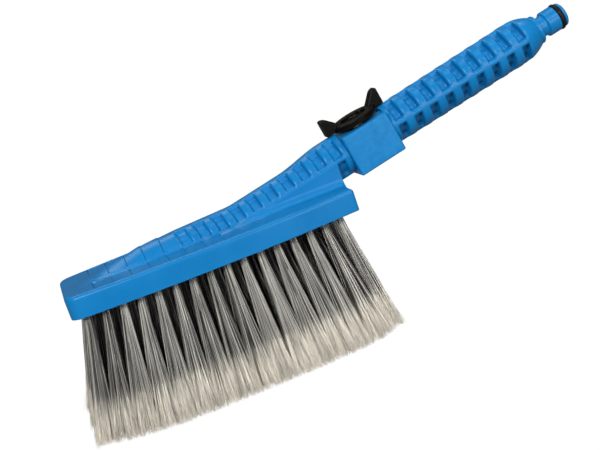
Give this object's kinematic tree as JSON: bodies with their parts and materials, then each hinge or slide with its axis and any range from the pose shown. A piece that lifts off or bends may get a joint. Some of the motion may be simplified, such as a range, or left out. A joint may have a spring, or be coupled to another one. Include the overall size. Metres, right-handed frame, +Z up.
{
  "type": "flow-through wash brush",
  "caption": "Hand-held water-fed wash brush with a long soft bristle block, a ribbed hollow handle, a winged shut-off valve and a quick-connect hose nipple.",
  "frame": {"origin": "on the plane of the bristle tips, under the middle of the whole brush's box", "axes": "+X along the block from its free end towards the handle and hose nipple, +Z up with the bristles pointing down, Y across the block"},
  "size_m": [0.3636, 0.087, 0.1494],
  "materials": {
    "blue_plastic": "moulded polypropylene, semi-gloss",
    "black_plastic": "moulded, satin",
    "white_acetal": "smooth moulded",
    "seat_plastic": "smooth",
    "nitrile_rubber": "satin",
    "steel": "plated",
    "anchor_wire": "galvanised wire",
    "bristle_fibre": "soft flagged synthetic fibre, pale tips"
  },
  "bodies": {
    "brush": {"head_shell": "blue_plastic", "bristle_plate": "blue_plastic", "valve_body": "blue_plastic", "handle_grip": "blue_plastic", "hose_nipple": "blue_plastic", "outlet_port_seal": "seat_plastic", "inlet_port_seal": "seat_plastic", "neck_o_ring": "nitrile_rubber", "grip_o_ring": "nitrile_rubber", "nipple_o_ring": "nitrile_rubber", "nipple_seal": "nitrile_rubber", "plug_retaining_clip": "steel", "tuft_anchors": "anchor_wire", "tufts_row_1": "bristle_fibre", "tufts_row_2": "bristle_fibre", "tufts_row_3": "bristle_fibre", "tufts_row_4": "bristle_fibre", "tufts_row_5": "bristle_fibre"},
    "knob": {"valve_knob": "black_plastic", "valve_plug": "white_acetal", "knob_screw": "steel", "plug_upper_o_ring": "nitrile_rubber", "plug_lower_o_ring": "nitrile_rubber"}
  },
  "joints": [
    {"name": "valve_turn", "type": "hinge", "parent": "brush", "child": "knob", "pos_m": [0.03339, 0, 0.11124], "axis": [-0.2016, 0, 0.9795], "range_deg": [0, 90]}
  ]
}
